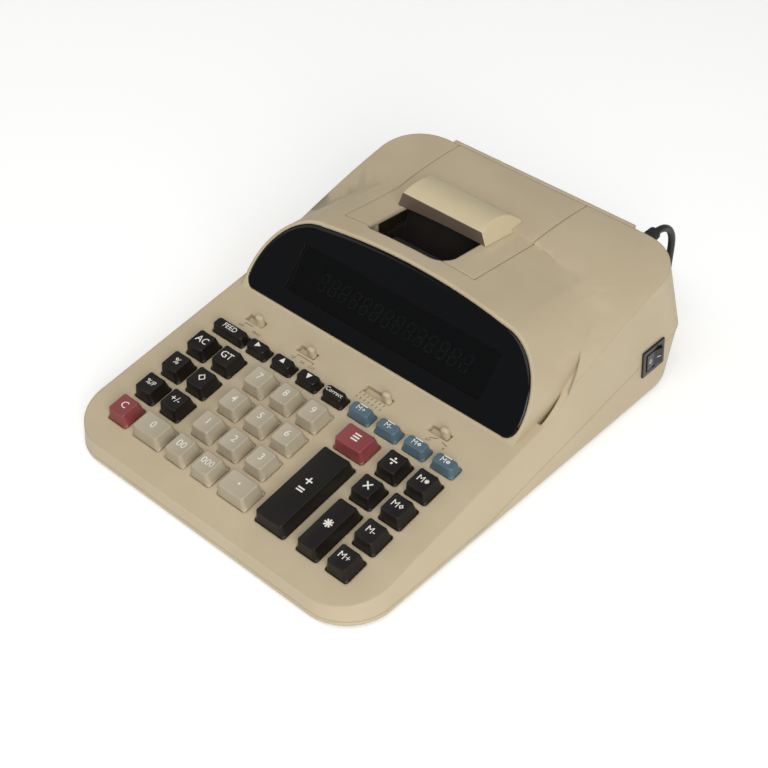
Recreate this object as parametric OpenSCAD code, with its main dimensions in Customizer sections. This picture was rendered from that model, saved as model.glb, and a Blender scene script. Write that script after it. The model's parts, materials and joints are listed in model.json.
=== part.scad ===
// Desktop printing calculator: two-part moulded case, domed printer housing with a
// dark display window, 38 keys, four slide switches, a rocker power switch and a mains lead.
// Millimetres, +Z up, front towards -Y, origin at the middle of the footprint on the table.

/* [Case] */
// Width of the case at the table
body_w = 224; // [216:1:236]
// Depth of the case at the table
body_d = 297; // [291:1:309]
// Plan radius of the front corners
front_corner_r = 30; // [24:1:34]
// Plan radius of the rear corners at the table
rear_corner_r = 38; // [34:1:42]
// Plan radius of the rear corners at the parting line, where the case is widest
waist_r = 18; // [15:1:21]
// Lean of the outer walls, degrees
wall_draft = 4.6; // [3:0.1:5]
// Thickness of the moulded walls
wall = 2.6; // [2.2:0.1:3]
// Height of the rubber feet
foot_h = 2.5; // [2:0.1:2.7]
// Diameter of the rubber feet
foot_d = 14; // [10:1:16]
// Height of the parting line at the rear wall
part_rear_z = 35; // [32:0.5:38]
// Diameter of the case screws
screw_d = 3; // [2.5:0.1:3.5]

/* [Top] */
// Height of the keyboard deck at the front wall
deck_front_z = 14.9; // [14.5:0.1:18]
// Slope of the keyboard deck, degrees
deck_angle = 9.85; // [9:0.05:10.5]
// Half angle of the cones that shape the shoulders, degrees
cone_half = 59.5; // [59:0.1:60]
// Height of the rear top edge
back_edge_z = 79; // [76:0.5:81]
// Plan radius of the arc where the rear top meets the dome
arc_r = 86; // [84:0.5:88]
// Width of the sloping band along that arc
band_w = 4; // [3:0.5:5]
// Drop of the sloping band
band_drop = 2.6; // [2:0.1:3]

/* [Display] */
// Slope of the display window, degrees
lens_angle = 50; // [47:0.5:53]
// Width of the case left free at each end of the display window
lens_margin = 9.7; // [9:0.1:14]
// Height of the window's outline across the dome
lens_h = 48.3; // [46:0.1:49]
// Radius of the window's upper corners
lens_r = 36; // [33:0.5:37]
// Thickness of the window
lens_t = 2.4; // [2:0.1:3]
// Rim of the dome around the window
rim = 2; // [1.6:0.1:2.4]
// Downward slope of the dome towards the rear, degrees
dome_angle = 5; // [4:0.25:6]

/* [Keys] */
// Distance between key columns
key_pitch_x = 20.8; // [20.4:0.05:21]
// Distance between key rows
key_pitch_y = 20.1; // [19.7:0.05:20.4]
// Width of a key at the deck
key_w = 15.1; // [14.5:0.05:15.5]
// Length of a key at the deck
key_l = 16; // [15.4:0.05:16.4]
// Width of the wide keys at the deck
wide_key_w = 21.6; // [21:0.1:22]
// Height of a key above the deck
key_h = 8.3; // [7:0.1:9]
// Length of a key in the upper row
small_key_l = 8.9; // [8.4:0.1:9.6]
// Height of a key in the upper row
small_key_h = 6; // [5:0.1:7]
// Travel of a key
key_travel = 3; // [2.5:0.1:3.4]
// Clearance around each moving part
gap = 0.35; // [0.3:0.05:0.45]

/* [Printer] */
// Width of the paper slot
slot_w = 59; // [58:0.5:61]
// Length of the paper slot from front to rear
slot_l = 42; // [39:0.5:44]
// Distance of the paper slot's middle from the middle of the case, towards the left
slot_shift = 17; // [15:0.5:19]
// Width of the printer cover
cover_w = 98; // [94:0.5:102]
// Seam around the printer cover
seam = 0.4; // [0.3:0.05:0.5]
// Diameter of the paper feed roller
roller_d = 14; // [12:0.5:15]

/* [Power] */
// Width of the rocker switch along the side wall
switch_w = 18; // [17:0.5:20]
// Height of the rocker switch
switch_h = 14.5; // [13:0.5:16]
// Swing of the rocker to each side, degrees
rocker_swing = 7; // [5:0.5:8]
// Diameter of the mains lead
cord_d = 4.5; // [4.3:0.1:4.6]

/* [Hidden] */
$fn = 48;
eps = 0.01;
// Flats stop this far short of the rounds beside them, so that their surfaces cross cleanly
tuck = 0.08;
front_y = -body_d / 2;
rear_y = body_d / 2;
floor_z = foot_h + wall;
lean = tan(wall_draft);
block_h = 110;

// Key columns, measured from the first column
first_col_x = -83.7;
number_gap = 5.6;
number_col = 2 * key_pitch_x + number_gap;
wide_shift = (wide_key_w - key_w) / 2;
plus_col = 120.8;
right_col = 147.7;
last_col = right_col + key_pitch_x;
small_pitch = 20.05;
small_key_w = 15.5;
feed_key_w = 25.2;
first_row_s = 26.2;
small_row_s = first_row_s + 3.88 * key_pitch_y;

// Key bodies under the deck
key_taper = 1.6;
key_corner_r = 1.5;
key_flange = 1.2;
key_flange_t = 1.2;
key_stem = 4;
key_stem_l = 1.4;
dish_depth = 0.7;
flange_top_h = -wall - 0.3;
stem_end_h = flange_top_h - key_flange_t - key_stem_l;
sheet_top_h = stem_end_h - key_travel - 0.3;
sheet_t = 1;
board_t = 1.6;

// Shoulders and rear top: each half is part of a wide cone with its point beyond the rear corner
cone_x = body_w / 2 + 56.6;
cone_y = rear_y + 28;
cone_z = back_edge_z - 2.75;
cone_tilt = 32.2;
cone_turn = 23.7;
cone_l = 420;
cone_tip = 6;
// Arc where the dome meets the rear top, running out into straight legs beside the dome
leg_end = 21;
arc_mid_y = front_y + 153.5;
leg_x = body_w / 2 - 6.7;
arc_flat = leg_x - arc_r * cos(leg_end);
leg_rear_y = arc_mid_y + arc_r * sin(leg_end);

// Dome and window, drawn across the dome with their foot on the deck
lens_y = front_y + 134.8;
lens_z = deck_front_z + (lens_y - front_y) * tan(deck_angle);
lens_w = body_w - 2 * lens_margin;
lens_corner_x = lens_w / 2 - lens_r;
lens_corner_v = 8;
lens_side = lens_h - lens_corner_v;
lens_top_r = (pow(lens_corner_x, 2) + pow(lens_side, 2) - pow(lens_r, 2)) / (2 * (lens_side - lens_r));
dome_l = 150;
lens_proud = 0.6;
lens_foot_r = 7;
lens_foot_v = 0.8;
window_w = 150;
window_h = 30;
window_s = 26;
tube_t = 9;
tube_edge = 5;

// Printer
slot_x = -slot_shift;
slot_front_y = front_y + 183.5;
slot_round = 12;
slot_small_round = 3;
slot_depth = 14;
cover_front_y = slot_front_y + 3;
cutter_r = 28;
cutter_front_y = slot_front_y + slot_l - 10;
cutter_y = cutter_front_y + 12;
cutter_z = back_edge_z - 14.5;
cutter_foot_w = 70;
cutter_top_w = 58;
cutter_h = 16;
cutter_foot_z = back_edge_z - 2;
frame_t = 2;
frame_w = slot_w + 8;
frame_top_z = 66;
guide_z = cutter_foot_z - 1.5;
frame_y = slot_front_y + 4;
frame_rear_gap = 29.5;
frame_l = rear_y - frame_rear_gap - frame_y;
roller_y = slot_front_y + 20;
roller_z = 58;
shaft_d = 5;
drum_d = 18;
drum_drop = 20;

// Rocker switch on the right-hand wall
switch_y = rear_y - 40.5;
switch_z = 27;
switch_depth = 22;
bezel = 1.6;
bezel_lip = 1.4;
rocker_axis_in = 6;

// Mains lead: strain relief, free stretch, coil and plug
relief_x = body_w / 2 - 44;
relief_z = 64;
relief_r = 5.2;
relief_flange_r = 7.5;
relief_flange_t = 2.5;
relief_l = 20;
relief_hole_r = 4.4;
cord_floor = 0.05;
// Free stretch of the lead, measured from its outlet across the case and from the rear edge
cord_route = [
    [0, 6.5, 64.8], [0, 11.5, 65.2], [0, 16.5, 65.4], [0, 22.7, 64.4], [0, 28.3, 61.6],
    [0, 32.7, 57.2], [0, 35.5, 51.6], [0, 36.5, 45.4], [0, 36.5, 38], [0, 36.5, 30],
    [0, 36.5, 22.3], [-0.7, 35.8, 16.1], [-2.7, 33.8, 10.5], [-5.8, 30.7, 6.1], [-9.8, 26.7, 3.3],
    [-14.1, 22.4, 2.3], [-17, 19.5, 2.3]
];
coil_x = 25;
coil_y = rear_y + 33.5;
coil_pitch = cord_d + 0.6;
coil_mid_r = 24.5;
coil_layers = 4;
coil_start = -45;
coil_end = -100;
coil_turns = 8 + (coil_start - coil_end) / 360;
layer_turns = (coil_turns - 0.5 * (coil_layers - 1)) / coil_layers;
coil_out_r = coil_mid_r + coil_pitch * layer_turns / 2;
coil_in_r = coil_out_r - coil_pitch * layer_turns;
coil_z = cord_d / 2 + cord_floor;
tail_level = 20;
tail_fall = 46;
plug_z = 7.4;
loop_steps = 24;
plug_w = 26;
plug_l = 30;
plug_boot_l = 14;
pin_d = 4;
pin_l = 19;
pin_pitch = 19;

// Every key: name, column position, row, width, length, height, colour
NUMBER_GREY = [0.63, 0.59, 0.51];
KEY_BLACK = [0.10, 0.09, 0.08];
KEY_RED = [0.56, 0.23, 0.24];
KEY_BLUE = [0.29, 0.42, 0.50];
CASE_BEIGE = [0.73, 0.67, 0.53];
left_names = [
    ["key_clear", "key_percent_print", "key_percent", "key_all_clear"],
    ["", "key_sign", "key_subtotal", "key_grand_total"]
];
digit_names = [["key_1", "key_2", "key_3"], ["key_4", "key_5", "key_6"], ["key_7", "key_8", "key_9"]];
memory_names = ["key_m1_plus", "key_m1_minus", "key_m1_subtotal", "key_m1_total"];
small_names = ["key_right", "key_up", "key_down", "key_correct",
    "key_m2_plus", "key_m2_minus", "key_m2_subtotal", "key_m2_total"];
KEYS = concat(
    [for (c = [0, 1], r = [0 : 3]) if (left_names[c][r] != "")
        [left_names[c][r], c * key_pitch_x, r, key_w, key_l, key_h, c + r == 0 ? KEY_RED : KEY_BLACK]],
    [for (r = [0 : 2], c = [0 : 2])
        [digit_names[r][c], number_col + c * key_pitch_x, r + 1, key_w, key_l, key_h, NUMBER_GREY]],
    [["key_0", key_pitch_x + wide_shift, 0, wide_key_w, key_l, key_h, NUMBER_GREY],
     ["key_00", number_col, 0, key_w, key_l, key_h, NUMBER_GREY],
     ["key_000", number_col + key_pitch_x, 0, key_w, key_l, key_h, NUMBER_GREY],
     ["key_point", number_col + 2 * key_pitch_x + wide_shift, 0, wide_key_w, key_l, key_h, NUMBER_GREY],
     ["key_plus_equals", plus_col, 1, wide_key_w, key_l + 2 * key_pitch_y, key_h, KEY_BLACK],
     ["key_minus_equals", plus_col, 3, wide_key_w, key_l, key_h, KEY_RED],
     ["key_total", right_col, 0.5, key_w, key_l + key_pitch_y, key_h, KEY_BLACK],
     ["key_multiply", right_col, 2, key_w, key_l, key_h, KEY_BLACK],
     ["key_divide", right_col, 3, key_w, key_l, key_h, KEY_BLACK]],
    [for (r = [0 : 3]) [memory_names[r], last_col, r, key_w, key_l, key_h, KEY_BLACK]]
);
SMALL_KEYS = concat(
    [["key_feed", (feed_key_w - key_w) / 2, feed_key_w, KEY_BLACK]],
    [for (i = [0 : 7])
        [small_names[i], last_col - (7 - i) * small_pitch, small_key_w, i < 4 ? KEY_BLACK : KEY_BLUE]]
);

// Slide switches: name, place across the case, travel towards the left
SLIDES = [["slide_print", -70.9, 8], ["slide_round", -28.8, 8],
    ["slide_decimal", 28.8, 14], ["slide_total", 70.9, 8]];
slide_s = 120.7;
slide_w = 5;
slide_l = 4;
slide_h = 6.5;

// Screw posts and feet: distance from the side of the case, then from its front edge
screw_posts = [[40, 9], [24, body_d - 14]];
foot_places = [[34, 30], [28, body_d - 33]];
board_posts = [[-49.6, 46], [-49.6, 86], [19.3, 46], [19.3, 86]];

function deck_z(y) = deck_front_z + (y - front_y) * tan(deck_angle);

// Places: across the case, on the deck, on the window, on the right-hand wall, on the rear wall
module across(w) {
    rotate([90, 0, 90]) translate([0, 0, -w / 2]) linear_extrude(w) children();
}
module on_deck(x, s) {
    translate([0, front_y, deck_front_z]) rotate([deck_angle, 0, 0]) translate([x, s, 0]) children();
}
module on_lens() {
    translate([0, lens_y, lens_z]) rotate([lens_angle, 0, 0]) children();
}
module on_side(y, z) {
    translate([body_w / 2 - tuck - z * lean, y, z]) rotate([0, -wall_draft, 0]) children();
}
module on_rear(x, z) {
    translate([x, rear_y - tuck - z * lean, z]) rotate([wall_draft, 0, 0]) children();
}

// A block whose four walls lean in by slope, with its corners as cones
module leaning_block(w, y0, y1, r0, r1, h, slope) {
    mid = (y0 + y1) / 2;
    half = w / 2 - tuck;
    front = y0 + tuck;
    rear = y1 - tuck;
    rotate([90, 0, 0]) translate([0, 0, -(y1 - r1)]) linear_extrude(y1 - r1 - y0 - r0)
        polygon([[-half, 0], [half, 0], [half - h * slope, h], [h * slope - half, h]]);
    across(w - 2 * r0) polygon([[front, 0], [mid, 0], [mid, h], [front + h * slope, h]]);
    across(w - 2 * r1) polygon([[mid, 0], [rear, 0], [rear - h * slope, h], [mid, h]]);
    for (side = [-1, 1]) {
        translate([side * (w / 2 - r0), y0 + r0, 0]) cylinder(r1 = r0, r2 = r0 - h * slope, h = h);
        translate([side * (w / 2 - r1), y1 - r1, 0]) cylinder(r1 = r1, r2 = r1 - h * slope, h = h);
    }
}

// Rear corners are cones that touch the side and rear walls and are narrowest at the parting line.
// They widen upwards on the upper half (way = 1) and downwards on the lower half (way = -1).
waist_z = part_rear_z - 2;
corner_l = 150;
top_corner_r = rear_corner_r - back_edge_z * lean;
function corner_grow(way) =
    way > 0 ? (top_corner_r - waist_r) / (back_edge_z - waist_z) : (rear_corner_r - waist_r) / waist_z;
module at_rear_corners(inset, way) {
    z = waist_z - way * (waist_r - inset) / corner_grow(way);
    for (side = [-1, 1])
        translate([side * (body_w / 2 - inset - z * lean), rear_y - inset - z * lean, z])
            rotate([0, 0, side > 0 ? 225 : -45]) children();
}
module corner_cones(inset, way) {
    back = corner_grow(way) + way * lean;
    half = asin(corner_grow(way) * cos(wall_draft) / sqrt(1 + 2 * back * back));
    at_rear_corners(inset, way) rotate([0, atan2(sqrt(2) * back, way), 0])
        cylinder(r1 = 0, r2 = corner_l * tan(half), h = corner_l);
}
// What lies beyond the plane through the two lines where a corner's cone touches the walls
module corner_cuts(inset, way) {
    flat = corner_grow(way) * cos(wall_draft);
    back = corner_grow(way) + way * lean - flat * cos(wall_draft) / 2;
    at_rear_corners(inset, way) rotate([0, atan2(sqrt(2) * back, way + flat * sin(wall_draft)), 0])
        translate([way > 0 ? -corner_l : 0, -corner_l, 0]) cube([corner_l, 2 * corner_l, 2 * corner_l]);
}
module case_block(inset, way = 1) {
    half = body_w / 2 - inset - tuck;
    front = front_y + inset + tuck;
    rear = rear_y - inset - tuck;
    r = front_corner_r - inset;
    narrow = block_h * lean;
    difference() {
        intersection() {
            rotate([90, 0, 0]) translate([0, 0, -rear_y]) linear_extrude(body_d - front_corner_r)
                polygon([[-half, 0], [half, 0], [half - narrow, block_h], [narrow - half, block_h]]);
            across(2 * body_w) polygon([[front, 0], [rear, 0], [rear - narrow, block_h], [front, block_h]]);
        }
        corner_cuts(inset, way);
    }
    corner_cones(inset, way);
    across(body_w - 2 * front_corner_r)
        polygon([[front, 0], [0, 0], [0, block_h], [front + narrow, block_h]]);
    for (side = [-1, 1])
        translate([side * (body_w / 2 - front_corner_r), front_y + front_corner_r, 0])
            cylinder(r1 = r, r2 = r - narrow, h = block_h);
}

// Outline across the dome, grown by m: crown arc, two corner arcs, straight sides
module dome_profile(m) {
    crown_x = lens_corner_x * (lens_top_r + m) / (lens_top_r - lens_r);
    for (side = [-1, 1])
        translate([side * lens_corner_x, lens_corner_v]) circle(lens_r + m);
    translate([tuck - lens_w / 2 - m, -70]) square([lens_w + 2 * m - 2 * tuck, 70 + lens_corner_v]);
    intersection() {
        translate([0, lens_h - lens_top_r - 2 * tuck]) circle(lens_top_r + m, $fn = 240);
        translate([-crown_x, lens_corner_v - 1]) square([2 * crown_x, lens_h + 2 * lens_r]);
    }
}
module along_dome() {
    translate([0, lens_y, lens_z]) rotate([90 - dome_angle, 0, 0]) translate([0, 0, -dome_l])
        linear_extrude(dome_l + 60) children();
}
module dome(inset) {
    intersection() {
        along_dome() dome_profile(rim - inset);
        on_lens() translate([-body_w, -body_d, -2 * body_d - inset - (inset > 0 ? lens_t : 0)])
            cube([2 * body_w, 2 * body_d, 2 * body_d]);
    }
}
module deck_prism(inset) {
    drop = inset / cos(deck_angle);
    y0 = front_y - 10;
    y1 = lens_y + 20;
    across(2 * body_w) polygon([[y0, -1], [y1, -1], [y1, deck_z(y1) - drop], [y0, deck_z(y0) - drop]]);
}
module rear_top(drop) {
    for (side = [0, 1]) mirror([side, 0, 0]) intersection() {
        translate([cone_x, cone_y, cone_z - drop]) rotate([0, cone_tilt, cone_turn])
            translate([0, 0, -cone_l])
            cylinder(r1 = cone_l * tan(cone_half), r2 = cone_tip * tan(cone_half), h = cone_l - cone_tip);
        translate([0, -body_d, -1]) cube([body_w, 2 * body_d, 2 * block_h]);
    }
}
module arc_plan(inside) {
    translate([0, 0, -2]) linear_extrude(3 * block_h) union() {
        for (side = [-1, 1]) translate([side * arc_flat, arc_mid_y]) circle(arc_r - inside);
        translate([-arc_flat, 0]) square([2 * arc_flat, arc_mid_y + arc_r - inside - 3 * tuck]);
        translate([inside - leg_x, -body_d]) square([2 * (leg_x - inside), body_d + leg_rear_y]);
    }
}
module shoulder(inset) {
    difference() {
        rear_top(inset);
        arc_plan(-inset);
    }
    difference() {
        rear_top(inset + band_drop);
        arc_plan(band_w);
    }
}
module case_solid(inset) {
    intersection() {
        case_block(inset);
        union() {
            deck_prism(inset);
            shoulder(inset);
            dome(inset);
        }
    }
}
// Everything under the parting line, which runs level in front and climbs to the rear
part_bend_y = front_y + 107;
module under_parting() {
    rise = (part_rear_z - floor_z) / (rear_y - part_bend_y);
    across(2 * body_w) polygon([[front_y - 20, -5], [rear_y + 20, -5],
        [rear_y + 20, part_rear_z + 20 * rise], [part_bend_y, floor_z], [front_y - 20, floor_z]]);
}

module rounded_slab(w, l, r, h) {
    linear_extrude(h) union() {
        square([w - 2 * r, l - tuck / 2], center = true);
        square([w - tuck / 2, l - 2 * r], center = true);
        for (x = [-1, 1], y = [-1, 1]) translate([x * (w / 2 - r), y * (l / 2 - r)]) circle(r);
    }
}
module switch_opening() {
    on_side(switch_y, switch_z)
        translate([-3 * wall, -switch_w / 2 - 0.1, -switch_h / 2 - 0.1])
        cube([4 * wall, switch_w + 0.2, switch_h + 0.2]);
}
module both_sides(places) {
    for (side = [-1, 1], p = places) translate([side * (body_w / 2 - p[0]), front_y + p[1], 0]) children();
}

// Lower half of the case: floor, rising rear walls, counterbored screw holes
module lower_case() {
    color(CASE_BEIGE) difference() {
        intersection() {
            case_block(0, -1);
            under_parting();
            translate([-body_w, -body_d, foot_h]) cube([2 * body_w, 2 * body_d, block_h]);
        }
        intersection() {
            case_block(wall, -1);
            translate([-body_w, -body_d, floor_z]) cube([2 * body_w, 2 * body_d, block_h]);
        }
        switch_opening();
        both_sides(screw_posts) {
            cylinder(d = screw_d + 0.4, h = 2 * floor_z);
            cylinder(d = 2 * screw_d + 0.4, h = foot_h + wall / 2);
        }
    }
}

// Printer cover: the skin over the printer, standing on the printer frame by four posts
module cover_region(grow) {
    bottom = back_edge_z - 9;
    translate([slot_x - cover_w / 2 - grow, cover_front_y - grow, bottom - grow])
        cube([cover_w + 2 * grow, body_d, block_h]);
}
module slot_profile() {
    difference() {
        translate([-slot_w / 2, 0]) square([slot_w, slot_l]);
        translate([slot_w / 2 - slot_round, -1]) square([slot_round + 1, slot_round + 1]);
        translate([-slot_w / 2 - 1, -1]) square([slot_small_round + 1, slot_small_round + 1]);
    }
    translate([slot_w / 2 - slot_round, slot_round]) circle(slot_round + tuck);
    translate([slot_small_round - slot_w / 2, slot_small_round]) circle(slot_small_round + tuck);
}
module paper_slot() {
    translate([slot_x, slot_front_y, back_edge_z - slot_depth]) linear_extrude(block_h) slot_profile();
}
cover_post_d = 5;
cover_posts = [[-1, 10], [1, 10], [-1, frame_l - 10], [1, frame_l - 10]];
module printer_cover() {
    color(CASE_BEIGE) union() {
        difference() {
            intersection() {
                case_solid(0);
                cover_region(0);
            }
            case_solid(wall);
            paper_slot();
        }
        intersection() {
            case_solid(wall / 2);
            for (p = cover_posts)
                translate([slot_x + p[0] * (frame_w - frame_t) / 2, slot_front_y + p[1], frame_top_z])
                    cylinder(d = cover_post_d, h = block_h);
        }
    }
}

// Upper half of the case: deck with its key holes, shoulders, dome, window seat
module key_hole(w, l) {
    translate([0, 0, -2 * wall]) rounded_slab(w + 2 * gap, l + 2 * gap, key_corner_r + gap, 4 * wall);
}
module key_holes() {
    for (k = KEYS)
        on_deck(first_col_x + k[1], first_row_s + k[2] * key_pitch_y) key_hole(k[3], k[4]);
    for (k = SMALL_KEYS)
        on_deck(first_col_x + k[1], small_row_s) key_hole(k[2], small_key_l);
    for (s = SLIDES)
        on_deck(s[1] - s[2] / 2, slide_s)
            cube([slide_w + s[2] + 2 * gap, slide_l + 2 * gap, 4 * wall], center = true);
}
module lens_profile(m) {
    intersection() {
        dome_profile(m);
        union() {
            translate([-lens_w, lens_foot_r]) square([2 * lens_w, 2 * lens_h]);
            translate([lens_foot_r - lens_w / 2, lens_foot_v + tuck - m])
                square([lens_w - 2 * lens_foot_r, 2 * lens_h]);
            for (side = [-1, 1])
                translate([side * (lens_w / 2 - lens_foot_r), lens_foot_r + lens_foot_v])
                    circle(lens_foot_r + m);
        }
    }
}
module lens_slab(m, low, high) {
    intersection() {
        along_dome() lens_profile(m);
        on_lens() translate([-body_w, -20, low]) cube([2 * body_w, 120, high - low]);
    }
}
lens_seat = lens_t - lens_proud;
module upper_case() {
    color(CASE_BEIGE) union() {
        difference() {
            case_solid(0);
            case_solid(wall);
            under_parting();
            cover_region(seam);
            paper_slot();
            key_holes();
            switch_opening();
            lens_slab(0.1, -lens_seat, 20);
            on_lens() translate([-window_w / 2, window_s - window_h / 2, -20]) cube([window_w, window_h, 20]);
            on_rear(relief_x, relief_z) rotate([90, 0, 0])
                cylinder(r = relief_hole_r + 0.1, h = 4 * wall, center = true);
        }
        difference() {
            intersection() {
                case_solid(wall / 2);
                both_sides(screw_posts) translate([0, 0, floor_z]) cylinder(d = 7, h = block_h);
            }
            both_sides(screw_posts) cylinder(d = screw_d + 0.1, h = floor_z + 9);
        }
        for (p = board_posts)
            on_deck(p[0], p[1]) translate([0, 0, sheet_top_h]) cylinder(d = 5.4, h = -sheet_top_h - wall / 2);
        rear_rail();
    }
}
// Rail across the rear edge, clear of the cover and joined to the case beyond the cover's sides
rail_x0 = slot_x - cover_w / 2 - 6;
rail_x1 = body_w / 2 - 47;
rail_t = 3;
rail_h = 8;
module rear_rail() {
    on_rear(0, back_edge_z) {
        translate([rail_x0, seam, -rail_h]) cube([rail_x1 - rail_x0, rail_t, rail_h - 0.4]);
        translate([slot_x + cover_w / 2 + 2, -wall / 2, -rail_h])
            cube([rail_x1 - slot_x - cover_w / 2 - 2, rail_t, rail_h - 1]);
        translate([rail_x0, -wall / 2, -rail_h])
            cube([slot_x - cover_w / 2 - 2 - rail_x0, rail_t, rail_h - 1]);
    }
}

// Cutter bar: rounded hump with sloping ends, seated on the cover over the rear of the slot
module cutter_bar() {
    color([0.74, 0.69, 0.54]) difference() {
        intersection() {
            translate([slot_x - body_w / 2, cutter_y, cutter_z]) rotate([0, 90, 0])
                cylinder(r = cutter_r, h = body_w);
            translate([slot_x, cutter_front_y + body_d, cutter_foot_z]) rotate([90, 0, 0])
                linear_extrude(body_d)
                polygon([[-cutter_foot_w / 2, 0], [cutter_foot_w / 2, 0],
                    [cutter_top_w / 2, cutter_h], [-cutter_top_w / 2, cutter_h]]);
        }
        case_solid(0);
    }
}

module display_lens() {
    color([0.03, 0.03, 0.04]) lens_slab(0, -lens_seat, lens_proud);
}
module display_tube() {
    color([0.15, 0.2, 0.2]) on_lens()
        translate([-window_w / 2 - tube_edge, window_s - window_h / 2 - tube_edge, -wall - lens_t - tube_t])
        cube([window_w + 2 * tube_edge, window_h + 2 * tube_edge, tube_t]);
}

// Rubber contact sheet and circuit board, parallel to the deck under the key stems
sheet_edge = 10;
sheet_x0 = first_col_x - sheet_edge;
sheet_w = last_col + 2 * sheet_edge;
sheet_s0 = 14;
sheet_l = 114;
module contact_sheet() {
    color([0.5, 0.5, 0.48]) on_deck(sheet_x0, sheet_s0) translate([0, 0, sheet_top_h - sheet_t])
        cube([sheet_w, sheet_l, sheet_t]);
}
module circuit_board() {
    color([0.16, 0.36, 0.22]) on_deck(sheet_x0, sheet_s0)
        translate([0, 0, sheet_top_h - sheet_t - board_t]) cube([sheet_w, sheet_l, board_t]);
}

// Printer frame: floor, two side plates, paper guide and print drum
drum_y = roller_y + 4;
module printer_frame() {
    guide_w = frame_w - frame_t;
    color([0.42, 0.36, 0.31]) difference() {
        translate([slot_x, 0, 0]) union() {
            translate([-frame_w / 2, frame_y, floor_z]) cube([frame_w, frame_l, frame_t]);
            for (side = [-1, 1])
                translate([side * (frame_w - frame_t) / 2 - frame_t / 2, frame_y, floor_z])
                    cube([frame_t, frame_l, frame_top_z - floor_z]);
            across(guide_w) polygon([[roller_y + 12, 46], [roller_y + 14, 46],
                [slot_front_y + slot_l - 1, guide_z], [slot_front_y + slot_l - 3, guide_z]]);
            translate([-guide_w / 2, drum_y, roller_z - drum_drop]) rotate([0, 90, 0])
                cylinder(d = drum_d, h = guide_w);
        }
        translate([slot_x - frame_w, roller_y, roller_z]) rotate([0, 90, 0])
            cylinder(d = shaft_d + 0.2, h = 2 * frame_w);
    }
}
module feed_roller() {
    color([0.2, 0.2, 0.2]) translate([slot_x, roller_y, roller_z]) rotate([0, 90, 0]) union() {
        cylinder(d = roller_d, h = slot_w - 4, center = true);
        cylinder(d = shaft_d, h = frame_w + 3, center = true);
    }
}

module case_screws() {
    color([0.6, 0.6, 0.62]) both_sides(screw_posts) translate([0, 0, foot_h + wall / 2]) union() {
        cylinder(d = screw_d, h = 9);
        difference() {
            translate([0, 0, -1.2]) cylinder(d = 2 * screw_d, h = 1.2);
            translate([-screw_d, -0.4, -1.2 - eps]) cube([2 * screw_d, 0.8, 0.6]);
            translate([-0.4, -screw_d, -1.2 - eps]) cube([0.8, 2 * screw_d, 0.6]);
        }
    }
}
module rubber_feet() {
    color([0.12, 0.12, 0.12]) both_sides(foot_places) cylinder(d1 = foot_d - 1, d2 = foot_d, h = foot_h);
}

// Rocker power switch: housing let into the wall, rocker on two pins
switch_wall = 1.5;
rocker_pin_d = 2.4;
pin_hole_d = rocker_pin_d + 0.2;
module switch_housing() {
    cavity_l = switch_w - 2 * switch_wall;
    cavity_h = switch_h - 2 * switch_wall;
    color([0.09, 0.09, 0.09]) on_side(switch_y, switch_z) difference() {
        union() {
            translate([0, -switch_w / 2 - bezel, -switch_h / 2 - bezel])
                cube([bezel_lip, switch_w + 2 * bezel, switch_h + 2 * bezel]);
            translate([-switch_depth, -switch_w / 2, -switch_h / 2]) cube([switch_depth, switch_w, switch_h]);
        }
        translate([-rocker_axis_in - 2, -cavity_l / 2, -cavity_h / 2])
            cube([switch_depth, cavity_l, cavity_h]);
        cylinder(d = pin_hole_d, h = cavity_h + 2, center = true);
    }
}
module power_rocker() {
    reach = (switch_w - 2 * switch_wall) / 2 - gap;
    thick = switch_h - 2 * switch_wall - 2 * gap;
    color([0.07, 0.07, 0.07]) on_side(switch_y, switch_z) rotate([0, 0, -rocker_swing]) union() {
        linear_extrude(thick, center = true)
            polygon([[-3, -reach + 0.4], [-3, reach - 0.4], [2.6, reach - 0.4],
                [1.4, 0], [2.6, 0.4 - reach]]);
        cylinder(d = rocker_pin_d, h = thick + 2 * gap + 1.6, center = true);
    }
}

module strain_relief() {
    color([0.1, 0.1, 0.1]) on_rear(relief_x, relief_z) rotate([-90, 0, 0]) difference() {
        union() {
            translate([0, 0, -wall - 2]) cylinder(r = relief_hole_r + 2, h = 2);
            translate([0, 0, -wall]) cylinder(r = relief_hole_r, h = wall);
            cylinder(r = relief_flange_r, h = relief_flange_t);
            cylinder(r1 = relief_r, r2 = relief_r - 1.2, h = relief_l);
        }
        for (i = [0 : 4])
            translate([0, 0, relief_flange_t + 2 + 3 * i]) difference() {
                cylinder(r = relief_r + 1, h = 1.2);
                cylinder(r = relief_r - 1.7, h = 1.2);
            }
    }
}

// Tube of a given radius along a path, its rings square to the path
function unit(v) = v / norm(v);
function heading(path, i) =
    unit(path[min(i + 1, len(path) - 1)] - path[max(i - 1, 0)]);
module tube(path, r, sides, aside) {
    n = len(path);
    rings = [for (i = [0 : n - 1])
        let (t = heading(path, i), u = unit(cross(t, aside)), v = cross(t, u))
        for (k = [0 : sides - 1]) path[i] + r * (cos(360 * k / sides) * u + sin(360 * k / sides) * v)];
    polyhedron(
        points = rings,
        faces = concat(
            [for (i = [0 : n - 2], k = [0 : sides - 1])
                [i * sides + k, i * sides + (k + 1) % sides, (i + 1) * sides + (k + 1) % sides]],
            [for (i = [0 : n - 2], k = [0 : sides - 1])
                [i * sides + k, (i + 1) * sides + (k + 1) % sides, (i + 1) * sides + k]],
            [for (k = [1 : sides - 2]) [0, k + 1, k]],
            [for (k = [1 : sides - 2]) [(n - 1) * sides, (n - 1) * sides + k, (n - 1) * sides + k + 1]]
        )
    );
}

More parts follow.
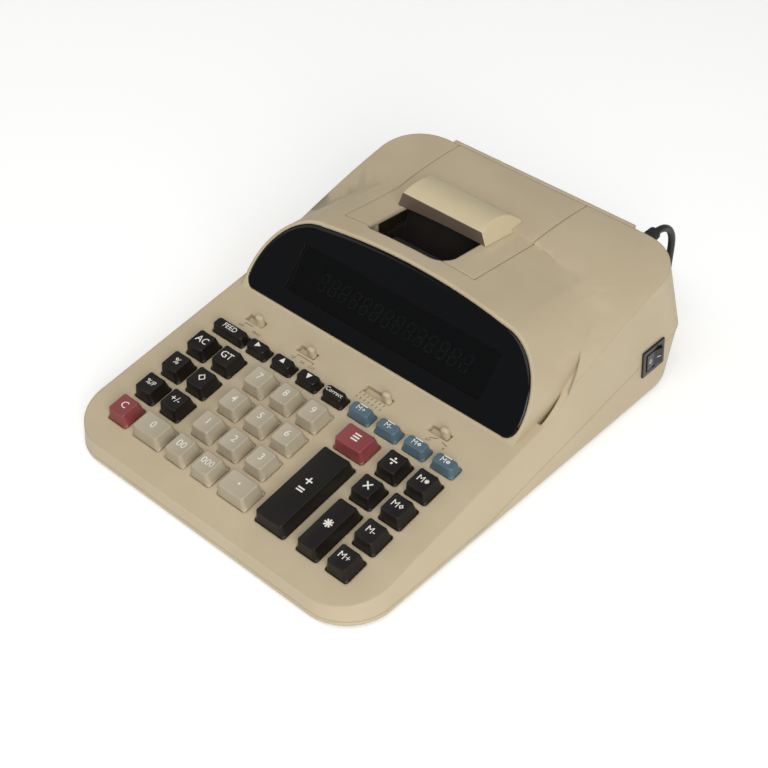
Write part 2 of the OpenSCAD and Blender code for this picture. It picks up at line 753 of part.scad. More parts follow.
// Coil: layers winding in and out in turn, each half turn where the winding reverses climbing a layer
function coil_layer(u) = min(coil_layers - 1, floor(u / (layer_turns + 0.5)));
function coil_r(u) =
    let (i = coil_layer(u), w = u - i * (layer_turns + 0.5), inward = i % 2 == 0,
        past = coil_pitch * (0.25 - abs(w - layer_turns - 0.25)))
    w < layer_turns ? (inward ? coil_out_r - coil_pitch * w : coil_in_r + coil_pitch * w)
    : inward ? coil_in_r - past : coil_out_r + past;
function coil_h(u) =
    let (i = coil_layer(u), w = u - i * (layer_turns + 0.5))
    coil_z + coil_pitch * (w < layer_turns ? i : i + (1 - cos(360 * (w - layer_turns))) / 2);
function coil_point(u) =
    let (a = coil_start - 360 * u)
    [coil_x + coil_r(u) * cos(a), coil_y + coil_r(u) * sin(a), coil_h(u)];
function turn_heading(a) = [sin(a), -cos(a), 0];
coil_steps = ceil(coil_turns * loop_steps);
coil_turn_points = [for (i = [0 : coil_steps]) coil_point(coil_turns * i / coil_steps)];
coil_in_point = coil_turn_points[0] - cord_d * turn_heading(coil_start);
// The tail leaves the top layer straight and comes down beside the coil to the plug
tail_from = coil_turn_points[coil_steps];
function tail_point(t) =
    tail_from + (tail_level + tail_fall * t) * turn_heading(coil_end)
    + [0, 0, (plug_z - tail_from[2]) * (1 - cos(180 * t)) / 2];
tail_points = [for (i = [0 : 7]) tail_point(i / 7)];
coil_out_point = tail_points[7] + cord_d * turn_heading(coil_end);
coil_path = concat([coil_in_point], coil_turn_points, [tail_from + tail_level / 2 * turn_heading(coil_end)],
    tail_points, [coil_out_point]);
coil_apart = loop_steps / 3;
coil_last = len(coil_path) - 1;
coil_gap = min([for (i = [0 : coil_last - coil_apart])
    min([for (j = [i + coil_apart : coil_last]) norm(coil_path[i] - coil_path[j])])]) - cord_d;
free_path = concat([for (p = cord_route) [relief_x + p[0], rear_y + p[1], p[2]]], [coil_in_point]);
function path_length(p, i = 0) = i >= len(p) - 1 ? 0 : norm(p[i + 1] - p[i]) + path_length(p, i + 1);
echo(coil_gap = coil_gap, free_length = path_length(free_path), coil_length = path_length(coil_path));

module power_cord() {
    color([0.08, 0.08, 0.08]) tube(free_path, cord_d / 2, 10, [1, 0, 0]);
}
module cord_coil() {
    color([0.08, 0.08, 0.08]) tube(coil_path, cord_d / 2, 6, [0, 0, 1]);
}
// Plug with two round pins, lying beside the coil
plug_t = 2 * (plug_z - cord_floor);
module plug() {
    color([0.09, 0.09, 0.09]) translate(coil_out_point - 2 * turn_heading(coil_end))
    rotate([0, 0, coil_end - 90]) union() {
        rotate([0, 90, 0]) cylinder(d1 = 2 * cord_d - 1.5, d2 = 2 * cord_d, h = plug_boot_l);
        translate([plug_boot_l + plug_l / 2 - 2, 0, -plug_t / 2]) rounded_slab(plug_l, plug_w, 5, plug_t);
        for (side = [-1, 1])
            translate([plug_boot_l + plug_l - 2 - eps, side * pin_pitch / 2, 0]) rotate([0, 90, 0])
                cylinder(d = pin_d, h = pin_l);
    }
}

// One key: tapered cap with a hollow top, skirt through the deck, flange and stem below
module key_cap(w, l, h, dished) {
    base = 0.3;
    rise = h - base;
    slope = key_taper / key_h;
    top_w = w - 2 * rise * slope;
    hollow_r = top_w * top_w / (8 * dish_depth) + dish_depth / 2;
    difference() {
        translate([0, 0, base])
            leaning_block(w, -l / 2, l / 2, key_corner_r + key_taper, key_corner_r + key_taper, rise, slope);
        if (dished)
            translate([0, 0, h - dish_depth + hollow_r]) rotate([90, 0, 0])
                cylinder(r = hollow_r, h = 2 * l, center = true, $fn = 96);
    }
    translate([0, 0, flange_top_h]) rounded_slab(w, l, key_corner_r, base - flange_top_h);
    translate([0, 0, flange_top_h - key_flange_t / 2])
        cube([w + 2 * key_flange, l + 2 * key_flange, key_flange_t], center = true);
    translate([0, 0, flange_top_h - key_flange_t - key_stem_l / 2])
        cube([key_stem, key_stem, key_stem_l], center = true);
}
module key(k) {
    color(k[6]) on_deck(first_col_x + k[1], first_row_s + k[2] * key_pitch_y) key_cap(k[3], k[4], k[5], true);
}
module small_key(k) {
    color(k[3]) on_deck(first_col_x + k[1], small_row_s) key_cap(k[2], small_key_l, small_key_h, false);
}
// Slide switch: grip above the deck, neck through its slot, foot below that closes the slot at each end
module slide(s) {
    foot_w = slide_w + 2 * s[2] + 4;
    color(CASE_BEIGE) on_deck(s[1], slide_s) union() {
        translate([-slide_w / 2, -slide_l / 2, flange_top_h])
            cube([slide_w, slide_l, slide_h - flange_top_h]);
        translate([-foot_w / 2, -slide_l, flange_top_h - key_flange_t])
            cube([foot_w, 2 * slide_l, key_flange_t]);
    }
}

lower_case();
upper_case();
printer_cover();
cutter_bar();
display_lens();
display_tube();
contact_sheet();
circuit_board();
printer_frame();
feed_roller();
case_screws();
rubber_feet();
switch_housing();
power_rocker();
strain_relief();
power_cord();
cord_coil();
plug();
for (s = SLIDES) slide(s);
for (k = KEYS) key(k);
for (k = SMALL_KEYS) small_key(k);
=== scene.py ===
import json
from math import radians

import bmesh
import bpy
import numpy as np
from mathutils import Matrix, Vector

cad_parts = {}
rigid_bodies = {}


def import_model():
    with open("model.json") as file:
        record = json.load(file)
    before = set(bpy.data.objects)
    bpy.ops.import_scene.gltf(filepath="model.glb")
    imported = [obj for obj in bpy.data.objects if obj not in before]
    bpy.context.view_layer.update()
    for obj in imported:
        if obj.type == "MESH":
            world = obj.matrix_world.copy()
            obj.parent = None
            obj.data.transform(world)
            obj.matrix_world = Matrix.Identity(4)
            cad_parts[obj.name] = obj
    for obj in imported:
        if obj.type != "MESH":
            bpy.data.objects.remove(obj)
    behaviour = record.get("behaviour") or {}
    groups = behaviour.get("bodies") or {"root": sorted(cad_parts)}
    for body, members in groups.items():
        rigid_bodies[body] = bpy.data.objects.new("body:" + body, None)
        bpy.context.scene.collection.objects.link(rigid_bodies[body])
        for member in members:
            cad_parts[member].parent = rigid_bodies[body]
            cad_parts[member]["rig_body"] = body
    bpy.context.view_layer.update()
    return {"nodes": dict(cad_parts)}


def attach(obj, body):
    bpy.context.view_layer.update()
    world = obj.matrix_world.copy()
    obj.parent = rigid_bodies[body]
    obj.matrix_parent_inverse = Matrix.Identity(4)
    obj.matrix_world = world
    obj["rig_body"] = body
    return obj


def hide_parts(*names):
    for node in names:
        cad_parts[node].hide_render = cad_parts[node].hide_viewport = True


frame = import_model()


# Studio: a camera at the height of someone standing at the desk, a plain white floor
# and three soft lamps. The floor lifts itself to paper white for what looks at it directly.
MM = 0.001
scene = bpy.context.scene
scene.view_settings.view_transform = "Standard"
camera_lens = bpy.data.cameras.new("camera")
camera_lens.sensor_width = 36
camera_lens.lens = 70.8
camera = bpy.data.objects.new("camera", camera_lens)
scene.collection.objects.link(camera)
camera.location = Vector((442.9, -487.2, 590.4)) * MM
looks_at = Vector((22.4, -25.6, 41.6)) * MM
camera.rotation_euler = (looks_at - camera.location).to_track_quat("-Z", "Y").to_euler()
scene.camera = camera


def linear(hex_colour):
    """Linear red, green, blue and full alpha of an sRGB hex colour."""
    srgb = np.array([int(hex_colour[i:i + 2], 16) for i in (1, 3, 5)]) / 255
    curve = np.where(srgb <= 0.04045, srgb / 12.92, ((srgb + 0.055) / 1.055) ** 2.4)
    return (*curve.tolist(), 1.0)


def add(tree, kind, settings=None, links=None):
    """One node with its settings, by socket or property name, and its links, socket to (node, output)."""
    node = tree.nodes.new(kind)
    for key, value in (settings or {}).items():
        if isinstance(key, int) or key in node.inputs:
            node.inputs[key].default_value = value
        else:
            setattr(node, key, value)
    for key, (source, output) in (links or {}).items():
        tree.links.new(source.outputs[output], node.inputs[key])
    return node


def empty_material(name):
    """A material with no nodes, and its node tree."""
    material = bpy.data.materials.new(name)
    material.use_nodes = True
    material.node_tree.nodes.clear()
    return material, material.node_tree


# white paint on the floor, with a little light of its own for the camera, mirrors and glass
floor_paint, tree = empty_material("floor_white_paint")
seen = add(tree, "ShaderNodeLightPath")
seen_or_mirrored = add(tree, "ShaderNodeMath", {"operation": "MAXIMUM"},
                       {0: (seen, "Is Camera Ray"), 1: (seen, "Is Glossy Ray")})
seen_at_all = add(tree, "ShaderNodeMath", {"operation": "MAXIMUM"},
                  {0: (seen_or_mirrored, 0), 1: (seen, "Is Transmission Ray")})
lift = add(tree, "ShaderNodeMath", {"operation": "MULTIPLY", 1: 0.3}, {0: (seen_at_all, 0)})
paint = add(tree, "ShaderNodeBsdfPrincipled",
            {"Base Color": linear("#F4F4F2"), "Roughness": 0.9, "Specular IOR Level": 0.0,
             "Emission Color": linear("#FFFFFF")},
            {"Emission Strength": (lift, 0)})
add(tree, "ShaderNodeOutputMaterial", links={"Surface": (paint, 0)})
floor_mesh = bpy.data.meshes.new("floor")
FLOOR_HALF = 6.0
floor_mesh.from_pydata([(-FLOOR_HALF, -FLOOR_HALF, 0), (FLOOR_HALF, -FLOOR_HALF, 0),
                        (FLOOR_HALF, FLOOR_HALF, 0), (-FLOOR_HALF, FLOOR_HALF, 0)], [], [(0, 1, 2, 3)])
floor_mesh.materials.append(floor_paint)
floor = bpy.data.objects.new("floor", floor_mesh)
scene.collection.objects.link(floor)

world = bpy.data.worlds.new("studio")
scene.world = world
world.use_nodes = True
world.node_tree.nodes["Background"].inputs["Color"].default_value = linear("#FFFFFF")
world.node_tree.nodes["Background"].inputs["Strength"].default_value = 0.3
# lamp: place, size and power
for name, place, size, power in (("front_right", (1.5, -1.1, 1.0), 1.2, 26),
                                 ("overhead", (0.2, -0.6, 2.2), 1.6, 15),
                                 ("left", (-1.6, -0.6, 1.3), 1.2, 4)):
    lamp = bpy.data.lights.new(name, "AREA")
    lamp.size = size
    lamp.energy = power
    lamp_object = bpy.data.objects.new(name, lamp)
    scene.collection.objects.link(lamp_object)
    lamp_object.location = place
    lamp_object.rotation_euler = (Vector((0, 0, 0.05)) - Vector(place)).to_track_quat("-Z", "Y").to_euler()


# Lower case: a shallow tray of injection-moulded ABS that carries everything else.
# Its walls lean in for the mould and climb to the rear; the top half screws down on it.
def every(size_mm):
    """A pattern's scale, from the real distance between its features in millimetres."""
    return 1 / (size_mm * MM)


def moulded_plastic(name, colour, shade, rough, grain_mm, grain_depth, specular=0.5, soft_mm=0.3):
    """Moulded thermoplastic: spark-eroded grain as bump, faint clouding between colour and shade
    from the melt, polished patches where hands have rubbed it, and edges softened in the mould.
    The real grain is finer, and is drawn coarser so that it shows."""
    material, tree = empty_material(name)
    place = add(tree, "ShaderNodeTexCoord")
    cloud = add(tree, "ShaderNodeTexNoise", {"Scale": every(36.0), "Detail": 3.0},
                {"Vector": (place, "Object")})
    tint = add(tree, "ShaderNodeValToRGB", links={"Fac": (cloud, "Fac")})
    tint.color_ramp.elements[0].position, tint.color_ramp.elements[1].position = 0.3, 0.7
    for stop, tone in zip(tint.color_ramp.elements, (shade, colour)):
        stop.color = linear(tone)
    rub = add(tree, "ShaderNodeTexNoise", {"Scale": every(18.0), "Detail": 4.0},
              {"Vector": (place, "Object")})
    sheen = add(tree, "ShaderNodeMapRange",
                {"From Min": 0.3, "From Max": 0.7, "To Min": rough - 0.06, "To Max": rough + 0.06},
                {"Value": (rub, "Fac")})
    grain = add(tree, "ShaderNodeTexNoise", {"Scale": every(grain_mm), "Detail": 2.0},
                {"Vector": (place, "Object")})
    edges = add(tree, "ShaderNodeBevel", {"samples": 6, "Radius": soft_mm * MM})
    relief = add(tree, "ShaderNodeBump", {"Strength": 0.35, "Distance": grain_depth * MM},
                 {"Height": (grain, "Fac"), "Normal": (edges, 0)})
    plastic = add(tree, "ShaderNodeBsdfPrincipled",
                  {"IOR": 1.53, "Specular IOR Level": specular},
                  {"Base Color": (tint, 0), "Roughness": (sheen, 0), "Normal": (relief, 0)})
    add(tree, "ShaderNodeOutputMaterial", links={"Surface": (plastic, 0)})
    return material


def edge_turns(mesh):
    """For each edge: its middle in millimetres, the angle its two faces turn through in degrees,
    and both faces' normals."""
    ends = np.empty(2 * len(mesh.edges), np.int32)
    mesh.edges.foreach_get("vertices", ends)
    points = np.empty(3 * len(mesh.vertices))
    mesh.vertices.foreach_get("co", points)
    middle = points.reshape(-1, 3)[ends.reshape(-1, 2)].mean(1) / MM
    corners = np.empty(len(mesh.polygons), np.int32)
    mesh.polygons.foreach_get("loop_total", corners)
    normals = np.empty(3 * len(mesh.polygons))
    mesh.polygons.foreach_get("normal", normals)
    normals = normals.reshape(-1, 3)
    loop_edge = np.empty(len(mesh.loops), np.int32)
    mesh.loops.foreach_get("edge_index", loop_edge)
    loop_face = np.repeat(np.arange(len(corners)), corners)
    order = np.argsort(loop_edge, kind="stable")
    count = np.bincount(loop_edge, minlength=len(middle))
    first = np.concatenate([[0], np.cumsum(count)[:-1]])
    pair = count == 2
    one = normals[loop_face[order[np.minimum(first, len(order) - 1)]]]
    two = normals[loop_face[order[np.minimum(first + 1, len(order) - 1)]]]
    turn = np.degrees(np.arccos(np.clip((one * two).sum(1), -1, 1)))
    return middle, np.where(pair, turn, 0.0), one, two


# points this near are one, in millimetres; faces this level are one, and edges that turn by less
# than the last look smooth, in degrees
MERGE, FLAT_TURN, SMOOTH_TURN = 0.002, 0.4, 32


def rounded_copy(node, name, rounds, segments=3, smooth=SMOOTH_TURN):
    """A piece that stands for a CAD node: its triangles joined, its flats made whole, and its
    edges rounded by so many millimetres, one width or a function of the edges."""
    source = frame["nodes"][node]
    shape = bmesh.new()
    shape.from_mesh(source.data)
    bmesh.ops.remove_doubles(shape, verts=shape.verts, dist=MERGE * MM)
    bmesh.ops.dissolve_limit(shape, angle_limit=radians(FLAT_TURN), verts=shape.verts, edges=shape.edges)
    mesh = bpy.data.meshes.new(name)
    shape.to_mesh(mesh)
    shape.free()
    mesh.polygons.foreach_set("use_smooth", np.ones(len(mesh.polygons), bool))
    mesh.set_sharp_from_angle(angle=radians(smooth))
    middle, turn, one, two = edge_turns(mesh)
    width = rounds(middle, turn, one, two) if callable(rounds) else np.where(turn > smooth, rounds, 0.0)
    widest = max(float(width.max()), 0.01)
    weight = mesh.attributes.new("bevel_weight_edge", "FLOAT", "EDGE")
    weight.data.foreach_set("value", (width / widest).astype(np.float32))
    piece = bpy.data.objects.new(name, mesh)
    scene.collection.objects.link(piece)
    bevel = piece.modifiers.new("rounding", "BEVEL")
    bevel.limit_method = "WEIGHT"
    bevel.width = widest * MM
    bevel.segments = segments
    bevel.use_clamp_overlap = False
    bevel.loop_slide = False
    shading = piece.modifiers.new("even_shading", "WEIGHTED_NORMAL")
    shading.keep_sharp = True
    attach(piece, source["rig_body"])
    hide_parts(node)
    return piece


def finish_with(piece, slot, *materials):
    """Gives a piece its materials. The slot argument is not used."""
    piece.data.materials.clear()
    for material in materials:
        piece.data.materials.append(material)
    return piece


# beige ABS: its grain breaks up the highlights, so that the case looks matt
case_abs = moulded_plastic("case_moulded_abs", "#C6B698", "#BFAF90", 0.5, 0.9, 0.06, soft_mm=1.6)
lower = rounded_copy("lower_case", "lower_case_tray", 0.4)
finish_with(lower, "case_plastic", case_abs)


# Feet and screws: four rubber feet pushed into the tray, and four zinc-plated
# cross-head screws that pull the two halves together from below.
# moulded rubber: almost black and dull, with dust in its skin
foot_rubber, tree = empty_material("foot_moulded_rubber")
place = add(tree, "ShaderNodeTexCoord")
dust = add(tree, "ShaderNodeTexNoise", {"Scale": every(6.25), "Detail": 4.0}, {"Vector": (place, "Object")})
dusty = add(tree, "ShaderNodeValToRGB", links={"Fac": (dust, "Fac")})
for stop, tone in zip(dusty.color_ramp.elements, ("#1B1B1A", "#2C2B29")):
    stop.color = linear(tone)
rubber = add(tree, "ShaderNodeBsdfPrincipled", {"Roughness": 0.8}, {"Base Color": (dusty, 0)})
add(tree, "ShaderNodeOutputMaterial", links={"Surface": (rubber, 0)})
feet = rounded_copy("rubber_feet", "rubber_foot_set", 0.6)
finish_with(feet, "foot_rubber", foot_rubber)

# zinc plate: a pale grey metal, dulled in patches
zinc, tree = empty_material("screw_zinc_plate")
place = add(tree, "ShaderNodeTexCoord")
plating = add(tree, "ShaderNodeTexNoise", {"Scale": every(1.1), "Detail": 3.0}, {"Vector": (place, "Object")})
dulled = add(tree, "ShaderNodeMapRange", {"To Min": 0.28, "To Max": 0.5}, {"Value": (plating, "Fac")})
metal = add(tree, "ShaderNodeBsdfPrincipled", {"Base Color": linear("#C9CBCC"), "Metallic": 1.0},
            {"Roughness": (dulled, 0)})
add(tree, "ShaderNodeOutputMaterial", links={"Surface": (metal, 0)})
screws = rounded_copy("case_screws", "case_screw_set", 0.15)
finish_with(screws, "steel", zinc)


# Circuit board and contact sheet: a green glass-fibre board under the keys, and on it
# the grey silicone sheet whose domes the key stems press. Both screw to posts under the deck.
# glass-fibre laminate: green lacquer over a grid of tracks
board_laminate, tree = empty_material("board_glass_fibre_laminate")
place = add(tree, "ShaderNodeTexCoord")
tracks = add(tree, "ShaderNodeTexBrick",
             {"Scale": every(11.0), "Color1": linear("#2F6B43"), "Color2": linear("#2A5F3B"),
              "Mortar": linear("#3F8255"), "Mortar Size": 0.03}, {"Vector": (place, "Object")})
laminate = add(tree, "ShaderNodeBsdfPrincipled", {"Roughness": 0.35}, {"Base Color": (tracks, "Color")})
add(tree, "ShaderNodeOutputMaterial", links={"Surface": (laminate, 0)})
# silicone: grey and dull, with a dome pressed up under each key
silicone, tree = empty_material("contact_sheet_silicone")
place = add(tree, "ShaderNodeTexCoord")
domes = add(tree, "ShaderNodeTexVoronoi", {"Scale": every(20.8), "Randomness": 0.0},
            {"Vector": (place, "Object")})
pressed = add(tree, "ShaderNodeBump", {"Strength": 0.4, "Distance": 0.8 * MM},
              {"Height": (domes, "Distance")})
sheet_skin = add(tree, "ShaderNodeBsdfPrincipled", {"Base Color": linear("#8A8A83"), "Roughness": 0.7},
                 {"Normal": (pressed, 0)})
add(tree, "ShaderNodeOutputMaterial", links={"Surface": (sheet_skin, 0)})
finish_with(rounded_copy("circuit_board", "key_circuit_board", 0.2), "board", board_laminate)
finish_with(rounded_copy("contact_sheet", "key_contact_sheet", 0.3), "contact_rubber", silicone)


# Printer: a folded steel frame painted black with the paper guide and print drum, and a
# rubber feed roller on a steel shaft that turns in its two side plates.
# oven paint on steel: near black and half matt, with a bloom of paper dust
frame_paint, tree = empty_material("printer_painted_steel")
place = add(tree, "ShaderNodeTexCoord")
soot = add(tree, "ShaderNodeTexNoise", {"Scale": every(14.0), "Detail": 5.0}, {"Vector": (place, "Object")})
sooty = add(tree, "ShaderNodeValToRGB", links={"Fac": (soot, "Fac")})
for stop, tone in zip(sooty.color_ramp.elements, ("#1B1715", "#2A2420")):
    stop.color = linear(tone)
painted = add(tree, "ShaderNodeBsdfPrincipled", {"Roughness": 0.55}, {"Base Color": (sooty, 0)})
add(tree, "ShaderNodeOutputMaterial", links={"Surface": (painted, 0)})
finish_with(rounded_copy("printer_frame", "printer_frame_plates", 0.3), "frame_metal", frame_paint)

# ground rubber: dull, with fine grinding rings; the wave pattern's bands are a set share of its unit
WAVE_PERIOD = np.pi / 10
roller_rubber, tree = empty_material("feed_roller_ground_rubber")
place = add(tree, "ShaderNodeTexCoord")
ground = add(tree, "ShaderNodeTexWave",
             {"Scale": WAVE_PERIOD * every(1.2), "Distortion": 1.5, "bands_direction": "X"},
             {"Vector": (place, "Object")})
grooved = add(tree, "ShaderNodeBump", {"Strength": 0.3, "Distance": 0.1 * MM}, {"Height": (ground, "Fac")})
rolled = add(tree, "ShaderNodeBsdfPrincipled", {"Base Color": linear("#262523"), "Roughness": 0.75},
             {"Normal": (grooved, 0)})
add(tree, "ShaderNodeOutputMaterial", links={"Surface": (rolled, 0)})
finish_with(rounded_copy("feed_roller", "paper_feed_roller", 0.4), "roller_rubber", roller_rubber)


# Upper case: the ABS top with the keyboard deck, the domed printer housing and the swept
# shoulders, moulded in one piece. Its outer edges are softly rounded by the mould.
BODY_HALF, FRONT_Y, LEAN = 112.0, -148.5, np.tan(radians(4.6))
DECK_Z, DECK_ANGLE = 14.9, radians(9.85)
LENS_Y, LENS_Z, LENS_ANGLE = -13.7, 38.31, radians(50)
COVER_LEFT, COVER_RIGHT, COVER_FRONT = -66.0, 32.0, 38.0
SWITCH_Y, SWITCH_Z, SWITCH_REACH = 108.0, 27.0, 12.0
SEAM_NEAR, SEAM_ROUND, SKIN_TURN, BELOW = 0.6, 0.25, 20, -0.3
# the facets of the curved stretches turn by less than this, and real edges by more
FACET_TURN = 14


def deck_axes(points):
    """Across, along and above the deck, for points in millimetres: the frame turned back by the
    deck's slope."""
    y, z = points[..., 1] - FRONT_Y, points[..., 2] - DECK_Z
    cos, sin = np.cos(DECK_ANGLE), np.sin(DECK_ANGLE)
    return np.stack([points[..., 0], y * cos + z * sin, z * cos - y * sin], -1)


def from_deck(x, s, h):
    """The reverse: points in metres from places across, along and above the deck."""
    cos, sin = np.cos(DECK_ANGLE), np.sin(DECK_ANGLE)
    return np.stack([x, FRONT_Y + s * cos - h * sin, DECK_Z + s * sin + h * cos], -1) * MM


def top_rounds(middle, turn, one, two):
    """Widths of the small roundings on the upper skin: along the cover's seam and round the switch."""
    x, y, z = middle.T
    skin = (turn > SKIN_TURN) & (np.minimum(one[:, 2], two[:, 2]) > BELOW) & (deck_axes(middle)[:, 2] > BELOW)
    switch = ((x > BODY_HALF - SWITCH_REACH) & (np.abs(y - SWITCH_Y) < SWITCH_REACH)
              & (z < SWITCH_Z + SWITCH_REACH))
    sides = (np.abs(x - COVER_LEFT) < SEAM_NEAR) | (np.abs(x - COVER_RIGHT) < SEAM_NEAR)
    front = ((np.abs(y - COVER_FRONT) < SEAM_NEAR) & (x > COVER_LEFT - SEAM_NEAR)
             & (x < COVER_RIGHT + SEAM_NEAR))
    seam = (y > COVER_FRONT - SEAM_NEAR) & (sides | front)
    return np.where(skin & (seam | switch), SEAM_ROUND, 0.0)


upper = rounded_copy("upper_case", "upper_case_moulding", top_rounds, smooth=FACET_TURN)
finish_with(upper, "case_plastic", case_abs)


# Printer cover: the separate ABS lid over the printer, with the paper slot, dropped
# onto four posts of the printer frame so that it lifts off to change the ribbon.
cover = rounded_copy("printer_cover", "printer_cover_lid", top_rounds, smooth=FACET_TURN)
finish_with(cover, "case_plastic", case_abs)


# Cutter bar: a rounded bar of slightly waxy polystyrene behind the slot, clipped onto the
# cover. A brown plate over its whole front face has the edge that the strip is torn on.
# polystyrene: smoother and waxier than the case; acetal: brown, with a slippery sheen
cutter_plastic = moulded_plastic("cutter_moulded_polystyrene", "#D3C4A0", "#CBBC98", 0.38, 1.4, 0.03,
                                 soft_mm=0.8)
blade_plastic = moulded_plastic("cutter_brown_acetal", "#6E5F53", "#655649", 0.45, 0.8, 0.03)
cutter = rounded_copy("cutter_bar", "paper_cutter_bar", 0.5)
finish_with(cutter, "cutter_plastic", cutter_plastic, blade_plastic)
# the faces that look forward are the brown plate
facing = np.empty(3 * len(cutter.data.polygons))
cutter.data.polygons.foreach_get("normal", facing)
cutter.data.polygons.foreach_set("material_index", (facing.reshape(-1, 3)[:, 1] < -0.9).astype(np.int32))


# Display: a flat vacuum tube with fourteen seven-segment digits, unlit, behind a curved
# window of smoked acrylic whose back is printed black except over the tube.
# glass over a fine wire grid: a dark mirror
tube_glass, tree = empty_material("display_tube_glass")
place = add(tree, "ShaderNodeTexCoord")
mesh_grid = add(tree, "ShaderNodeTexNoise", {"Scale": every(2.5), "Detail": 2.0},
                {"Vector": (place, "Object")})
gridded = add(tree, "ShaderNodeValToRGB", links={"Fac": (mesh_grid, "Fac")})
for stop, tone in zip(gridded.color_ramp.elements, ("#101314", "#1A1E1F")):
    stop.color = linear(tone)
glass = add(tree, "ShaderNodeBsdfPrincipled", {"Roughness": 0.12, "IOR": 1.52}, {"Base Color": (gridded, 0)})
add(tree, "ShaderNodeOutputMaterial", links={"Surface": (glass, 0)})
finish_with(rounded_copy("display_tube", "display_vacuum_tube", 0.6), "tube", tube_glass)


def lens_points(u, v, h):
    """Points in metres from places across, up and out of the window's slope, in millimetres."""
    cos, sin = np.cos(LENS_ANGLE), np.sin(LENS_ANGLE)
    return np.stack([u, LENS_Y + v * cos - h * sin, LENS_Z + v * sin + h * cos], -1) * MM


def flat_piece(name, points, faces, body):
    """A mesh piece from points in metres and faces, riding on a body."""
    mesh = bpy.data.meshes.new(name)
    mesh.from_pydata(points.reshape(-1, 3).tolist(), [], faces)
    mesh.update()
    piece = bpy.data.objects.new(name, mesh)
    scene.collection.objects.link(piece)
    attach(piece, body)
    return piece


DIGITS, DIGIT_PITCH, DIGIT_W, DIGIT_H, DIGIT_LEAN = 14, 8.3, 4.6, 10.0, 0.16
TUBE_FACE, DIGIT_V = -5.0, 25.0
# each segment's middle in half digits and whether it stands upright
SEGMENTS = np.array([[0, 1, 0], [0, 0, 0], [0, -1, 0],
                     [-1, 0.5, 1], [1, 0.5, 1], [-1, -0.5, 1], [1, -0.5, 1]])
# a segment is a long hexagon about its middle
half_long = np.where(SEGMENTS[:, 2] > 0, DIGIT_H / 4, DIGIT_W / 2) - 0.35
outline = np.array([[-1, 0], [-0.8, -1], [0.8, -1], [1, 0], [0.8, 1], [-0.8, 1]])
along = outline[None, :, 0] * half_long[:, None]
wide = np.broadcast_to(outline[None, :, 1] * 0.42, along.shape)
upright = SEGMENTS[:, 2:] > 0
seg_u = SEGMENTS[:, :1] * DIGIT_W / 2 + np.where(upright, wide, along)
seg_v = SEGMENTS[:, 1:2] * DIGIT_H / 2 + np.where(upright, along, wide)
digit_u = (np.arange(DIGITS) - (DIGITS - 1) / 2) * DIGIT_PITCH
all_u = digit_u[:, None, None] + seg_u + DIGIT_LEAN * seg_v
all_v = np.broadcast_to(DIGIT_V + seg_v, all_u.shape)
digit_points = lens_points(all_u, all_v, np.full(all_u.shape, TUBE_FACE + 0.05))
digit_faces = np.arange(DIGITS * 7 * 6).reshape(-1, 6)
digit_faces = np.where((upright[:, 0])[np.arange(len(digit_faces)) % 7][:, None],
                       digit_faces[:, ::-1], digit_faces)
# unlit phosphor: a chalky grey powder
phosphor, tree = empty_material("display_unlit_phosphor")
place = add(tree, "ShaderNodeTexCoord")
speck = add(tree, "ShaderNodeTexNoise", {"Scale": every(0.67)}, {"Vector": (place, "Object")})
powder = add(tree, "ShaderNodeValToRGB", links={"Fac": (speck, "Fac")})
for stop, tone in zip(powder.color_ramp.elements, ("#8F938F", "#A9ADA8")):
    stop.color = linear(tone)
dull = add(tree, "ShaderNodeBsdfPrincipled", {"Roughness": 0.9}, {"Base Color": (powder, 0)})
add(tree, "ShaderNodeOutputMaterial", links={"Surface": (dull, 0)})
digits = flat_piece("display_digits", digit_points, digit_faces.tolist(), "case")
finish_with(digits, "tube", phosphor)

# smoked acrylic: black gloss with wiping smears; over the tube its back is unprinted, and the
# tube just shows
CLEAR_V, CLEAR_HALF_V, CLEAR_HALF_U = 26.0, 14.5, 74.0
smoked, tree = empty_material("window_smoked_acrylic")
place = add(tree, "ShaderNodeTexCoord")
on_window = add(tree, "ShaderNodeMapping",
                {"vector_type": "TEXTURE", "Location": (0, LENS_Y * MM, LENS_Z * MM),
                 "Rotation": (float(LENS_ANGLE), 0, 0)}, {"Vector": (place, "Object")})
parts = add(tree, "ShaderNodeSeparateXYZ", links={"Vector": (on_window, 0)})
off_u = add(tree, "ShaderNodeMath", {"operation": "ABSOLUTE"}, {0: (parts, "X")})
off_v = add(tree, "ShaderNodeMath", {"operation": "COMPARE", 1: CLEAR_V * MM, 2: CLEAR_HALF_V * MM},
            {0: (parts, "Y")})
in_u = add(tree, "ShaderNodeMath", {"operation": "LESS_THAN", 1: CLEAR_HALF_U * MM}, {0: (off_u, 0)})
clear = add(tree, "ShaderNodeMath", {"operation": "MULTIPLY"}, {0: (off_v, 0), 1: (in_u, 0)})
cover_up = add(tree, "ShaderNodeMapRange", {"To Min": 1.0, "To Max": 0.66}, {"Value": (clear, 0)})
smear = add(tree, "ShaderNodeTexNoise", {"Scale": every(25.0), "Detail": 5.0}, {"Vector": (place, "Object")})
wiped = add(tree, "ShaderNodeMapRange", {"From Min": 0.35, "From Max": 0.75, "To Min": 0.04, "To Max": 0.12},
            {"Value": (smear, "Fac")})
acrylic = add(tree, "ShaderNodeBsdfPrincipled",
              {"Base Color": linear("#060709"), "IOR": 1.49, "Specular IOR Level": 0.25},
              {"Roughness": (wiped, 0), "Alpha": (cover_up, 0)})
add(tree, "ShaderNodeOutputMaterial", links={"Surface": (acrylic, 0)})
window = rounded_copy("display_lens", "display_window", 1.7, 5)
finish_with(window, "window", smoked)


# Slide switches: four small ABS fins that slide across the case in slots at the top of
# the deck. Brown screen-printed marks show their positions.
ABOVE_DECK, KNOB_ROUND, EDGE_TURN = 0.3, 1.5, 25


